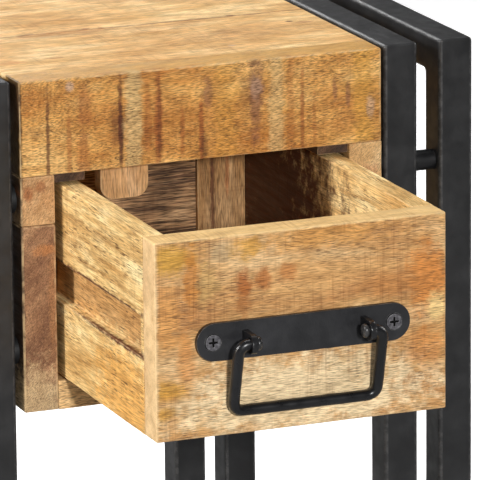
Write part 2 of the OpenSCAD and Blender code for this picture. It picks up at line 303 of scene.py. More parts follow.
def pore_dashes(graph, flow, stroke, fine):
    """1 in the open pores, short dashes that stand in crowds, and 0 elsewhere."""
    dashes = grain(graph, flow, PORES[0] / stroke, PORES[1] * fine, (3, 5, 7), detail=1.0,
                   rough=0.4)
    crowds = graph.noise(graph.stretch(flow, *PORE_CROWDS), detail=1.0)
    crowds = graph.spread(crowds, 0.40, 0.58, 0.05, 1.0)
    return graph.math("MULTIPLY", graph.spread(dashes, 0.60, 0.67), crowds)


def grain_shown(graph, point, calm):
    """The share of the fine grain that shows: 1, and less in the calm places."""
    share = 1.0
    for centre, half in calm:
        away = graph.vector("LENGTH", scaled_from(graph, point, centre, half), out=1)
        share = graph.math("MINIMUM", share, graph.spread(away, 0.8, 1.1, 0.3, 1.0))
    return share


def wood(name, axis, tones, seed, *, figure=0.5, fibre=0.28, pores=0.6, saw=0.25, wave=4.0,
         rise=0.0, hills=(), stains=(), gloss=0.5, line=0.3, crisp=0.1, stroke=1.0, fine=1.0,
         calm=()):
    """A mango board. tones are its deep, middle and pale colours. figure is the strength of
    its growth lines, line their closeness and crisp the softness of their edges. fibre is
    the contrast of its fine grain, stroke the length of a fibre and fine its thinness, and
    saw the strength of the marks across it. calm are places with little fine grain:
    (centre, half sizes)."""
    graph = Graph(name)
    point = graph.place()
    shifted = graph.vector("ADD", point, shift_of(seed))
    flow = drifted(graph, point, axis, wave, rise, hills, shifted)
    colour = board_tones(graph, flow, tones, figure, line, crisp, fine)
    colour = stained(graph, colour, point, shifted, stains)
    colour = mottled(graph, flow, colour)
    marks = saw_marks(graph, flow, shifted)
    colour = graph.mix(graph.math("MULTIPLY", marks, saw), colour, SAW_SHADE, "MULTIPLY")
    fibres = grain(graph, flow, FIBRES[0] / stroke, FIBRES[1] * fine, detail=2.0, rough=0.5)
    shown = grain_shown(graph, point, calm)
    colour = graph.mix(shown, colour, fibre_shade(graph, fibres, fibre), "MULTIPLY")
    dashes = graph.math("MULTIPLY", pore_dashes(graph, flow, stroke, fine), shown)
    colour = graph.mix(graph.math("MULTIPLY", dashes, pores), colour, PORE_COLOUR)
    # Eased edges are pale: partly wear, partly a painted highlight
    rubbed_and_highlight = graph.even(shifted, RUBBED_AND_HIGHLIGHT, detail=3.0)
    rubbed_and_highlight = graph.spread(rubbed_and_highlight, 0.35, 0.65, 0.1 * RUBBED_HIGHLIGHT_SHARE, RUBBED_HIGHLIGHT_SHARE)
    rubbed_and_highlight = graph.math("MULTIPLY", graph.arris(), rubbed_and_highlight)
    colour = graph.mix(rubbed_and_highlight, colour, rgb(230, 196, 146))
    graph.feed("Base Color", colour)
    shine = grain(graph, flow, *SHINE, detail=2.0)
    graph.feed("Roughness", graph.spread(shine, 0.3, 0.7, gloss - 0.07, gloss + 0.1))
    graph.feed("Specular IOR Level", 0.3)
    height = graph.math("MULTIPLY", dashes, -1.0)
    height = graph.math("ADD", height, graph.math("MULTIPLY", fibres, 0.8))
    height = graph.math("ADD", height, graph.math("MULTIPLY", marks, -0.5))
    graph.bump(height, 0.4, 0.3 * MM)
    return graph.material


# ---------- metal and plastic ----------

def iron(name, seed, tone, rough, fine, lumps, worn_and_highlight):
    """Painted iron or steel: fine is the closeness of the paint's texture, lumps its depth
    and the last how pale the edges are: partly paint bared by wear, partly a painted highlight."""
    graph = Graph(name)
    point = graph.vector("ADD", graph.place(), shift_of(seed))
    cloud = graph.even(point, 0.05, detail=4.0)
    lighter = tuple(min(1.0, c * 1.7 + 0.002) for c in tone[:3]) + (1.0,)
    darker = tuple(c * 0.75 for c in tone[:3]) + (1.0,)
    colour = graph.ramp(cloud, [(0.3, darker), (0.5, tone), (0.75, lighter)])
    speck = graph.even(point, fine, detail=2.0, rough=0.6)
    colour = graph.mix(graph.spread(speck, 0.66, 0.76, 0.0, 0.4), colour, lighter)
    # Pale edges: partly paint bared by wear, partly a painted highlight
    rubbed_and_highlight = graph.even(point, 0.25, detail=3.0, rough=0.7)
    rubbed_and_highlight = graph.math("MULTIPLY", graph.arris(), graph.spread(rubbed_and_highlight, 0.42, 0.62, 0.05, worn_and_highlight))
    colour = graph.mix(rubbed_and_highlight, colour, rgb(120, 118, 116))
    graph.feed("Base Color", colour)
    shine = graph.even(point, 0.12, detail=3.0)
    graph.feed("Roughness", graph.spread(shine, 0.3, 0.7, rough - 0.06, rough + 0.1))
    graph.feed("Specular IOR Level", 0.5)
    slow = graph.even(point, 0.22, detail=2.0)
    height = graph.math("ADD", graph.math("MULTIPLY", speck, 0.35), slow)
    graph.bump(height, 0.5, lumps)
    return graph.material


def zinc(name, seed, recess=None):
    """Dull plated steel, a little scratched. Deeper than recess, in mm along Y, it is
    near black, a painted shade as in a screw's cross."""
    graph = Graph(name)
    point = graph.vector("ADD", graph.place(), shift_of(seed))
    cloud = graph.even(point, 0.6, detail=3.0)
    colour = graph.ramp(cloud, [(0.3, rgb(84, 82, 86)), (0.55, rgb(116, 114, 118)),
                                (0.75, rgb(150, 148, 152))])
    colour = graph.mix(graph.math("MULTIPLY", graph.arris(), 0.4), colour, rgb(190, 188, 188))
    if recess is not None:
        # Painted shade: deep in the screw's cross it is nearly black
        behind = graph.parts(graph.place())[1]
        depth = graph.spread(behind, recess + 0.15, recess + 0.5)
        colour = graph.mix(depth, colour, rgb(18, 17, 17))
    graph.feed("Base Color", colour)
    graph.feed("Metallic", 0.75)
    scratch = graph.noise(graph.stretch(point, (6.0, 0.7, 1.5)), detail=3.0, rough=0.7)
    graph.feed("Roughness", graph.spread(scratch, 0.3, 0.7, 0.38, 0.6))
    graph.bump(scratch, 0.3, 0.0001)
    return graph.material


def glide_plastic():
    """Black moulded plastic with a fine matt texture."""
    graph = Graph("glide_plastic_black")
    point = graph.place()
    fine = graph.even(point, 1.5, detail=2.0)
    colour = graph.ramp(fine, [(0.35, rgb(9, 9, 10)), (0.65, rgb(18, 18, 19))])
    dusty = graph.mix(graph.math("MULTIPLY", graph.arris(), 0.5), colour, rgb(38, 37, 36))
    graph.feed("Base Color", dusty)
    graph.feed("Roughness", graph.spread(fine, 0.3, 0.7, 0.5, 0.7))
    graph.bump(fine, 0.4, 0.0001)
    return graph.material


# ---------- meshes ----------

# Corners nearer than JOIN are one, in metres. Faces that turn by less than FLAT, in radians,
# are one face; edges that turn by more than SHARP are eased, and by more than CREASE they
# stay sharp in the shading.
JOIN = 1e-6
FLAT = 0.01
SHARP = 0.6
CREASE = math.radians(50)


def object_from(name, mesh, material, body, nodes):
    """Adds a finished mesh as a piece that stands for CAD nodes and rides on a body."""
    piece = bpy.data.objects.new(name, mesh)
    bpy.context.scene.collection.objects.link(piece)
    mesh.materials.clear()
    mesh.materials.append(material)
    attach(piece, body)
    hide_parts(*nodes)


def baked(mesh, modifiers):
    """The mesh with modifiers applied. modifiers are (kind, settings)."""
    holder = bpy.data.objects.new("holder", mesh)
    bpy.context.scene.collection.objects.link(holder)
    for kind, settings in modifiers:
        modifier = holder.modifiers.new(kind.lower(), kind)
        for key, value in settings.items():
            setattr(modifier, key, value)
    graph = bpy.context.evaluated_depsgraph_get()
    result = bpy.data.meshes.new_from_object(holder.evaluated_get(graph))
    bpy.data.objects.remove(holder)
    return result


def cad_mesh(node):
    """A copy of a CAD node's mesh with its split corners joined and flat faces merged."""
    bm = bmesh.new()
    bm.from_mesh(NODES[node].data)
    bmesh.ops.remove_doubles(bm, verts=bm.verts, dist=JOIN)
    bmesh.ops.dissolve_limit(bm, angle_limit=FLAT, verts=bm.verts, edges=bm.edges)
    return bm


def ease_edges(bm, width_at, least):
    """Rounds the long sharp edges: width_at(middle of edge) is the width in metres.
    The new faces get material index 1."""
    weight = bm.edges.layers.float.new("bevel_weight_edge")
    widest = 0.0
    widths = {}
    for edge in bm.edges:
        if len(edge.link_faces) == 2 and edge.calc_length() > least:
            if edge.calc_face_angle() > SHARP:
                middle = (edge.verts[0].co + edge.verts[1].co) / 2
                widths[edge] = width_at(middle)
                widest = max(widest, widths[edge])
    for edge, width in widths.items():
        edge[weight] = width / widest
    mesh = bpy.data.meshes.new("eased")
    bm.to_mesh(mesh)
    bm.free()
    mesh.materials.append(None)
    mesh.materials.append(None)
    bevel = {"limit_method": "WEIGHT", "width": widest, "segments": 3, "material": 1}
    return baked(mesh, [("BEVEL", bevel)])


def cut_grid(bm, step):
    """Cuts all faces along planes that are step apart on each axis."""
    for axis in range(3):
        places = [v.co[axis] for v in bm.verts]
        low, high = min(places), max(places)
        count = int((high - low) / step)
        normal = Vector((0, 0, 0))
        normal[axis] = 1
        for i in range(1, count + 1):
            at = Vector((0, 0, 0))
            at[axis] = low + (high - low) * i / (count + 1)
            bmesh.ops.bisect_plane(bm, geom=bm.verts[:] + bm.edges[:] + bm.faces[:],
                                   dist=1e-7, plane_co=at, plane_no=normal)


def roughen(bm, seed, depth, size, edge_depth):
    """Moves points in by a smooth noise, more on eased edges, so nothing grows."""
    bm.normal_update()
    offset = Vector(shift_of(seed))
    edges = set()
    for face in bm.faces:
        if face.material_index == 1:
            edges.update(face.verts)
    for vert in bm.verts:
        spot = vert.co / size + offset
        amount = depth * (0.5 + 0.5 * noise.noise(spot))
        if vert in edges:
            chip = noise.noise(vert.co / (size * 0.25) + offset)
            amount += edge_depth * max(0.0, chip)
        vert.co -= vert.normal * amount


def mark_arris(mesh):
    """Writes the arris attribute from material index 1, and clears the indices."""
    attribute = mesh.attributes.new("arris", "FLOAT", "FACE")
    for face in mesh.polygons:
        attribute.data[face.index].value = float(face.material_index == 1)
        face.material_index = 0
        face.use_smooth = True
    mesh.set_sharp_from_angle(angle=CREASE)


def finish_mesh(bm, name):
    """The finished mesh of a piece, smooth but for its sharp corners."""
    mesh = bpy.data.meshes.new(name)
    bm.to_mesh(mesh)
    bm.free()
    mark_arris(mesh)
    result = baked(mesh, [("WEIGHTED_NORMAL", {"weight": 60, "keep_sharp": True})])
    result.name = name
    return result


def shaped(prefix, node, material, slot, *, width=0.0006, width_at=None, step=0.008,
           depth=0.00012, size=0.03, edge_depth=0.0002, least=0.003, seed=1):
    """A piece made from one CAD node: eased edges, a grid of faces, a worked surface."""
    ease = width_at or (lambda middle: width)
    mesh = ease_edges(cad_mesh(node), ease, least)
    bm = bmesh.new()
    bm.from_mesh(mesh)
    cut_grid(bm, step)
    roughen(bm, seed, depth, size, edge_depth)
    name = f"{prefix}_{node}"
    body = NODES[node]["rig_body"]
    object_from(name, finish_mesh(bm, name), material, body, [node])


def board(node, look, slot, **settings):
    """A wooden piece made from one CAD node."""
    shaped("wood", node, look, slot, **settings)


# ---------- steel frames ----------

TUBE = 20 * MM
TUBE_ROUND = 2.0 * MM
# Radius of a frame's corners, outside and inside the loop
OUTER_ROUND = 1.2 * MM
WELD_ROUND = 3.6 * MM
# Faces along the foot rail, rear leg, top rail and front leg, round a corner of the loop
# and round a corner of the tube's section
RUNS = (14, 24, 14, 24)
CORNER_FACES = 5
SECTION_FACES = 4
# Where a flat side of the section has points besides its ends
FLATS = (0.12, 0.5, 0.88)


def from_side(far):
    """Where the centre of a corner's arc is, from the near side of the tube."""
    return TUBE - TUBE_ROUND if far else TUBE_ROUND


def tube_section():
    """Points round the tube's section as (across, inset, on a rounded corner)."""
    points = []
    # Near or far side across, near or far side of inset, degrees at the start of the arc
    corners = [(0, 0, 180), (1, 0, 270), (1, 1, 0), (0, 1, 90)]
    for i, (a, b, turn) in enumerate(corners):
        for k in range(SECTION_FACES + 1):
            angle = math.radians(turn + 90 * k / SECTION_FACES)
            points.append((from_side(a) + TUBE_ROUND * math.cos(angle),
                           from_side(b) + TUBE_ROUND * math.sin(angle), k < SECTION_FACES))
        last_x, last_d, _ = points[-1]
        after = corners[(i + 1) % 4]
        angle = math.radians(after[2])
        next_x = from_side(after[0]) + TUBE_ROUND * math.cos(angle)
        next_d = from_side(after[1]) + TUBE_ROUND * math.sin(angle)
        for share in FLATS:
            points.append((last_x + (next_x - last_x) * share,
                           last_d + (next_d - last_d) * share, False))
    return points


def loop_path(low_y, high_y, low_z, high_z, inset):
    """Points of a rectangle in depth and height with rounded corners, inset from it."""
    radius = OUTER_ROUND + (WELD_ROUND - OUTER_ROUND) * inset / TUBE
    y0, y1 = low_y + inset, high_y - inset
    z0, z1 = low_z + inset, high_z - inset
    corners = [(y0 + radius, z0 + radius, 180), (y1 - radius, z0 + radius, 270),
               (y1 - radius, z1 - radius, 0), (y0 + radius, z1 - radius, 90)]
    points = []
    for i, (cy, cz, turn) in enumerate(corners):
        for k in range(CORNER_FACES + 1):
            angle = math.radians(turn + 90 * k / CORNER_FACES)
            points.append((cy + radius * math.cos(angle), cz + radius * math.sin(angle)))
        after = corners[(i + 1) % 4]
        angle = math.radians(after[2])
        goal = (after[0] + radius * math.cos(angle), after[1] + radius * math.sin(angle))
        here = points[-1]
        for k in range(1, RUNS[i]):
            share = k / RUNS[i]
            points.append((here[0] + (goal[0] - here[0]) * share,
                           here[1] + (goal[1] - here[1]) * share))
    return points


def steel_loop(side, ring, material, seed):
    """One closed frame of square tube, its four mitred tubes welded and ground flush."""
    parts = ("front_leg", "rear_leg", "top_rail", "foot_rail")
    names = [f"{side}_{ring}_{part}" for part in parts]
    boxes = [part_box(n) for n in names]
    low = Vector([min(b[0][i] for b in boxes) for i in range(3)])
    high = Vector([max(b[1][i] for b in boxes) for i in range(3)])
    section = tube_section()
    bm = bmesh.new()
    rows = []
    for across, inset, _ in section:
        path = loop_path(low.y, high.y, low.z, high.z, inset)
        rows.append([bm.verts.new((low.x + across, y, z)) for y, z in path])
    count = len(rows[0])
    for i, row in enumerate(rows):
        other = rows[(i + 1) % len(rows)]
        for k in range(count):
            after = (k + 1) % count
            face = bm.faces.new((row[k], row[after], other[after], other[k]))
            face.material_index = int(section[i][2])
    bmesh.ops.recalc_face_normals(bm, faces=bm.faces)
    roughen(bm, seed, 0.00012, 0.05, 0.00004)
    name = f"steel_{side}_{ring}_frame"
    object_from(name, finish_mesh(bm, name), material, "table", names)


# ---------- the bail ----------

# Radius of the rod, of its bends and of a lug's end, and the bail's length from its pivot
ROD = 3.2 * MM
BEND = 5.5 * MM
LUG_ROUND = 5.5 * MM
BAIL_LEG = 39.1 * MM
LUG_THICK = 3.5 * MM
# The peened ends: how far they stand out round the rod, their length, their gap to a lug
RIVET_OUT = 0.9 * MM
RIVET_LONG = 2.6 * MM
RIVET_GAP = 0.4 * MM
# Faces round the rod, and along half of it: in the lug, a bend, the arm and half the grip
ROD_SIDES = 18
LUG_FACES = 6
BEND_FACES = 6
ARM_FACES = 10
GRIP_FACES = 12
# The hammered surface: sizes of its lumps and how far they go in
LUMP = 6 * MM
SMALL_LUMP = 2.5 * MM
LUMP_DEPTH = 0.22 * MM


def bail_line(half_width, start_x):
    """The rod's centre line from the left lug down, across and up to the right lug."""
    bend_x = half_width - BEND
    half = []
    for k in range(LUG_FACES + 1):
        half.append((start_x + (bend_x - start_x) * k / LUG_FACES, 0.0))
    for k in range(1, BEND_FACES + 1):
        angle = math.radians(90 - 90 * k / BEND_FACES)
        half.append((bend_x + BEND * math.cos(angle), -BEND + BEND * math.sin(angle)))
    for k in range(1, ARM_FACES + 1):
        half.append((half_width, -BEND - (BAIL_LEG - 2 * BEND) * k / ARM_FACES))
    for k in range(1, BEND_FACES + 1):
        angle = math.radians(-90 * k / BEND_FACES)
        half.append((bend_x + BEND * math.cos(angle),
                     -BAIL_LEG + BEND + BEND * math.sin(angle)))
    for k in range(1, GRIP_FACES + 1):
        half.append((bend_x * (1 - k / GRIP_FACES), -BAIL_LEG))
    left = [(-x, z) for x, z in half]
    return left + half[-2::-1]


def bail(material):
    """The handle's swinging bail, hammered from round rod, with peened ends."""
    lug_low, lug_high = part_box("handle_lugs")
    low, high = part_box("handle_bail")
    pivot = Vector((0, lug_low.y + LUG_ROUND, (lug_low.z + lug_high.z) / 2))
    half_width = (high.x - low.x) / 2 - ROD
    inner_x = half_width - BEND - LUG_THICK - RIVET_GAP
    line = bail_line(half_width, inner_x)
    drop = pivot.z - low.z
    lean = math.acos(min(1.0, (drop - ROD) / BAIL_LEG))
    bm = bmesh.new()
    rings = []
    for i, (x, z) in enumerate(line):
        before = line[max(0, i - 1)]
        after = line[min(len(line) - 1, i + 1)]
        run = Vector((after[0] - before[0], 0, after[1] - before[1])).normalized()
        out = Vector((0, 1, 0))
        up = run.cross(out)
        ring = []
        for k in range(ROD_SIDES):
            turn = 2 * math.pi * k / ROD_SIDES
            ray = out * math.cos(turn) + up * math.sin(turn)
            spot = Vector((x, 0, z)) + ray * ROD
            lump = noise.noise(spot / LUMP + Vector((3, 1, 8)))
            lump += 0.5 * noise.noise(spot / SMALL_LUMP + Vector((5, 2, 6)))
            radius = ROD - LUMP_DEPTH * (0.75 + 0.5 * lump)
            ring.append(bm.verts.new(Vector((x, 0, z)) + ray * radius))
        rings.append(ring)
    for near, far in zip(rings, rings[1:]):
        for k in range(ROD_SIDES):
            after = (k + 1) % ROD_SIDES
            bm.faces.new((near[k], near[after], far[after], far[k]))
    for side, ring in ((-1, rings[0]), (1, rings[-1])):
        peen(bm, side, ring, inner_x)
    bmesh.ops.recalc_face_normals(bm, faces=bm.faces)
    turn = Matrix.Rotation(lean, 4, "X")
    bmesh.ops.transform(bm, matrix=Matrix.Translation(pivot) @ turn, verts=bm.verts)
    name = "iron_handle_bail"
    object_from(name, finish_mesh(bm, name), material, "bail", ["handle_bail"])


def peen(bm, side, ring, inner_x):
    """The rod's end, hammered over into a rough head: rings grow out, then close.
    profile is (share of the head's length, radius)."""
    profile = [(0.0, ROD + 0.55 * RIVET_OUT), (0.25, ROD + 0.95 * RIVET_OUT),
               (0.6, ROD + 0.9 * RIVET_OUT), (0.85, ROD + 0.4 * RIVET_OUT),
               (1.0, ROD * 0.75), (1.0, ROD * 0.3)]
    near = ring
    for share, radius in profile:
        x = side * (inner_x - RIVET_LONG * share)
        far = []
        for k, vert in enumerate(ring):
            ray = Vector((0, vert.co.y, vert.co.z)).normalized()
            rough = noise.noise(Vector((x, ray.y * 0.004, ray.z * 0.004)) / 0.0016)
            size = radius * (0.93 + 0.07 * rough)
            far.append(bm.verts.new((x, ray.y * size, ray.z * size)))
        for k in range(ROD_SIDES):
            after = (k + 1) % ROD_SIDES
            face = bm.faces.new((near[k], near[after], far[after], far[k]))
            face.material_index = 1
        near = far
    bm.faces.new(near).material_index = 1


# ---------- the pieces ----------

STEEL = iron("steel_powder_coat", 1, rgb(34, 34, 35), 0.40, 2.6, 0.00006, 0.25)
ENAMEL = iron("iron_black_enamel", 2, rgb(36, 36, 38), 0.36, 1.2, 0.00035, 0.9)
BAIL = iron("iron_bail_enamel", 5, rgb(17, 17, 19), 0.30, 1.6, 0.00012, 0.25)
SPACER = iron("steel_spacer_paint", 6, rgb(12, 12, 14), 0.40, 1.6, 0.00008, 0.2)
ZINC = zinc("zinc_plated", 3)
PLASTIC = glide_plastic()

# Deep, middle and pale colours of the boards
TOP = (rgb(208, 154, 88), rgb(232, 186, 122), rgb(250, 216, 156))
FRONT = (rgb(184, 122, 58), rgb(216, 160, 86), rgb(236, 192, 122))
STILE_TAN = (rgb(176, 130, 84), rgb(196, 150, 102), rgb(214, 174, 128))
STILE_BROWN = (rgb(112, 76, 54), rgb(146, 106, 76), rgb(174, 134, 98))
STILE_PALE = (rgb(198, 152, 98), rgb(222, 178, 120), rgb(238, 202, 150))
BUTTON = (rgb(188, 144, 94), rgb(208, 164, 114), rgb(226, 188, 142))
DRAWER = (rgb(190, 134, 80), rgb(214, 164, 104), rgb(232, 192, 138))
SIDE = (rgb(208, 164, 100), rgb(242, 204, 138), rgb(252, 228, 170))
BROWN = (rgb(72, 48, 34), rgb(164, 126, 88), rgb(190, 154, 114))
STRIP = (rgb(140, 98, 56), rgb(164, 122, 76), rgb(190, 150, 104))
# Kickers: partly their own dark end grain, partly painted shade from lying under the top
UMBER_AND_SHADE = (rgb(52, 36, 26), rgb(84, 60, 42), rgb(112, 84, 62))

# Colours of stains, and first a near black that is painted shadow
GAP_SHADOW = rgb(34, 24, 18)
SMOKE = rgb(96, 52, 34)
RUST = rgb(158, 88, 44)
PURPLE = rgb(132, 86, 66)
ORANGE = rgb(206, 124, 56)
CREAM = rgb(214, 184, 128)
GOLD = rgb(212, 156, 66)
LILAC = rgb(190, 162, 142)

# Bands of stain on the top's front edge, from its left end in mm: (place, half width,
# middle height, half height, colour, share). A half height of 0 is the whole height.
FRONT_BANDS = [
    (16, 1.1, 20, 34, SMOKE, 0.75), (28, 1.3, 12, 26, RUST, 0.5), (37, 4.5, 36, 12, RUST, 0.55),
    (36, 4.0, 6, 16, RUST, 0.5), (55, 3.6, 22, 12, SMOKE, 0.55), (57.6, 1.5, 20, 34, SMOKE, 0.9),
    (65, 5.0, 0, 0, CREAM, 0.75), (73, 2.2, 22, 24, RUST, 0.45), (79.5, 2.6, 24, 26, RUST, 0.75),
    (80, 1.2, 24, 22, SMOKE, 0.45), (93, 1.4, 18, 14, RUST, 0.6), (104, 1.5, 12, 24, RUST, 0.8),
    (105.5, 2.0, 6, 9, SMOKE, 0.5), (108, 3.0, 36, 8, PURPLE, 0.65),
    (118, 7.0, 0, 0, GOLD, 0.35), (130, 3.0, 32, 8, SMOKE, 0.35),
    (136, 4.4, 32, 24, PURPLE, 0.75), (136, 3.0, 38, 8, LILAC, 0.4), (148, 4.6, 0, 0, CREAM, 0.6),
    (156, 2.2, 0, 0, RUST, 0.35), (163, 1.3, 20, 26, RUST, 0.65), (170, 1.2, 16, 18, RUST, 0.4),
    (182, 1.6, 32, 6, PURPLE, 0.55), (190, 1.4, 28, 7, PURPLE, 0.6), (199, 6.0, 0, 0, GOLD, 0.6),
    (29, 2.2, 47, 3, LILAC, 0.7), (203, 2.6, 20, 7, LILAC, 0.5),
]

# Stains on the drawer front, and one painted light, in mm of the row frame: (centre, half sizes,
# colour, share)
DRAWER_STAINS_AND_LIGHT = [
    # Painted light: the bottom of the front made paler, as if lit from below
    ((0, 0, 403), (74, 0, 22), rgb(250, 224, 178), 0.9),
    ((10, 0, 466), (40, 0, 9), rgb(222, 170, 108), 0.6),
    ((10, 0, 486), (40, 0, 7), rgb(212, 150, 74), 0.65),
    ((-72, 0, 482), (15, 0, 8), rgb(212, 160, 60), 0.8),
    ((-45, 0, 484), (7, 0, 6), rgb(204, 172, 126), 0.85),
    ((-54, 0, 466), (8, 0, 10), rgb(200, 160, 98), 0.75),
    ((-30, 0, 484), (9, 0, 6), rgb(204, 148, 56), 0.75),
    ((-33, 0, 466), (5, 0, 7), rgb(164, 88, 36), 0.8),
    ((-22, 0, 467), (4.5, 0, 7), rgb(178, 102, 44), 0.75),
    ((-8, 0, 469), (5, 0, 5), rgb(188, 112, 50), 0.6),
    ((-33, 0, 456), (4, 0, 8), rgb(178, 106, 48), 0.6),
    ((-62, 0, 470), (4.5, 0, 19), rgb(212, 138, 62), 0.75),
    ((-65, 0, 427), (5, 0, 17), rgb(212, 142, 72), 0.7),
    ((-76, 0, 451), (8, 0, 15), rgb(228, 164, 92), 0.75),
    ((-75, 0, 412), (12, 0, 6), rgb(206, 148, 48), 0.8),
    ((-77, 0, 400), (6, 0, 4), rgb(206, 150, 54), 0.7),
    ((72, 0, 458), (11, 0, 20), rgb(216, 136, 62), 0.8),
    ((53, 0, 457), (18, 0, 7), rgb(196, 132, 70), 0.55),
    ((71, 0, 420), (11, 0, 11), rgb(212, 140, 70), 0.7),
    ((77, 0, 441), (6, 0, 8), rgb(244, 208, 140), 0.9),
]

# Gap between a runner and the back of its groove, in mm
RUNNER_TIP_GAP = 0.8

# Streaks on the drawer's left side, from its front end and the groove's middle, in mm:
# (behind, above, half length, half thickness, share)
SIDE_STREAKS = [
    (88, 39, 60, 3.4, 0.45), (66, 32, 50, 1.6, 0.45), (84, 27, 50, 2.6, 0.45),
    (30, 27, 30, 1.6, 0.4), (46, 20, 44, 1.6, 0.45), (90, 19, 36, 1.6, 0.4),
    (20, 14, 24, 1.4, 0.4), (66, -22, 44, 1.6, 0.35), (40, -30, 46, 1.6, 0.35),
    (80, -36, 34, 1.6, 0.35),
]

# Knots and marks on the top, in mm: (from its left end, behind its front, half width, half
# depth, colour, share)
TOP_MARKS = [
    (12, 10, 1.6, 1.8, SMOKE, 0.8), (13, 48, 7, 5, ORANGE, 0.45), (38, 50, 5, 2.4, RUST, 0.4),
    (138, 39, 2.6, 2.2, LILAC, 0.5), (132, 34, 6, 2.0, RUST, 0.3),
    (190, 83, 2.4, 2.0, SMOKE, 0.8), (197, 78, 7, 1.8, RUST, 0.45),
    (44, 110, 6, 1.4, SMOKE, 0.6), (80, 111, 2.2, 2.0, RUST, 0.6),
    (88, 110, 1.8, 1.8, RUST, 0.55), (145, 109, 6, 1.3, SMOKE, 0.65),
    (165, 110, 2.6, 1.6, SMOKE, 0.7),
    (60, 103, 30, 7, RUST, 0.30), (120, 98, 26, 8, RUST, 0.22), (150, 66, 50, 14, RUST, 0.14),
]


def front_bands(low):
    """The bands of the front edge as stains in the row frame."""
    stains = []
    for place, half, middle, half_height, tint, share in FRONT_BANDS:
        centre = (low.x / MM + place, 0, low.z / MM + middle)
        stains.append((centre, (half, 0, half_height), tint, share))
    return stains


def top_marks(low):
    """The top's knots as stains in the row frame."""
    stains = []
    for across, behind, half_x, half_y, tint, share in TOP_MARKS:
        centre = (low.x / MM + across, low.y / MM + behind, 0)
        stains.append((centre, (half_x, half_y, 0), tint, share))
    return stains


def build_top():
    """The top's boards, the rails and runners under them, and the turn button."""
    low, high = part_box("top_front_edge")
    left, right = low.x, high.x
    front, top, bottom = low.y, high.z, low.z
    near = 0.5 * MM

    def slab_edge(m):
        if abs(m.z - top) < near and abs(m.y - front) < near:
            return 0.9 * MM
        if m.x > right - near and m.z > bottom + near and abs(m.y - front) < near:
            return 1.6 * MM
        if m.x > right - near and abs(m.z - top) < near:
            return 1.6 * MM
        if abs(m.z - top) < near and m.y > front + near:
            return 0.2 * MM
        return 0.7 * MM

    def plank_edge(m):
        if abs(m.z - top) < near and abs(abs(m.x) - right) < near:
            return 1.4 * MM
        return 0.4 * MM

    seams = []
    for part in ("front", "middle", "rear"):
        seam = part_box(f"top_plank_{part}")[1].y / MM
        seams.append(((0, seam, top / MM), (0, 1.1, 0), RUST, 0.55))
        seams.append(((40, seam, top / MM), (60, 0.8, 0), SMOKE, 0.5))
    strip = ((0, front / MM + 13, top / MM), (0, 11, 1.5), rgb(210, 162, 90), 0.9)
    # Painted shadow: the slab's left end near the front made near black, as in the gap beside the
    # left frame
    shade = ((left / MM, front / MM + 8, 0), (1.5, 14, 0), GAP_SHADOW, 0.9)
    slab = wood("mango_front_edge", "X", FRONT, 1, figure=0.35, fibre=0.28, pores=0.7, saw=0.2,
                rise=0.27, hills=[((-60, 0, 560), (60, 0, 60), 9.0)], stroke=0.95, fine=1.25,
                stains=front_bands(low) + [strip, shade],
                calm=[((0, front / MM + 13, top / MM), (0, 12, 1.5))])
    board("top_front_edge", slab, "mango_mid", width_at=slab_edge, seed=2)
    for i, part in enumerate(("front", "middle", "rear")):
        node = f"top_plank_{part}"
        look = wood(f"mango_{node}", "X", TOP, 4 + i, figure=0.5, fibre=0.2, pores=0.3,
                    saw=0.25, wave=6.0, rise=0.05, stroke=1.3, fine=1.2, gloss=0.72,
                    stains=top_marks(low) + seams)
        board(node, look, "mango_light", width_at=plank_edge, seed=3 + i)
    some_bands = front_bands(low)[5:9]
    back = wood("mango_back_edge", "X", FRONT, 9, stains=some_bands)
    board("top_back_edge", back, "mango_mid", seed=8)
    rails = wood("mango_inner_rails", "Y", FRONT, 10, pores=0.4)
    # The kickers' dark umber is partly their end grain and partly painted shade under the top
    kickers = wood("mango_kickers", "Y", UMBER_AND_SHADE, 25, pores=0.4)
    for side in ("left", "right"):
        board(f"top_rail_{side}", rails, "mango_mid", width=0.3 * MM, step=0.02, seed=9)
        board(f"{side}_runner", rails, "mango_mid", width=0.4 * MM, step=0.02, seed=11)
        board(f"{side}_kicker", kickers, "mango_mid", width=0.4 * MM, step=0.02, seed=11)
    button = wood("mango_stop_button", "Z", BUTTON, 19, figure=0.3, fibre=0.2, pores=0.3)
    board("stop_button", button, "mango_light", width=1.0 * MM, step=0.005, seed=17,
          least=0.0004)


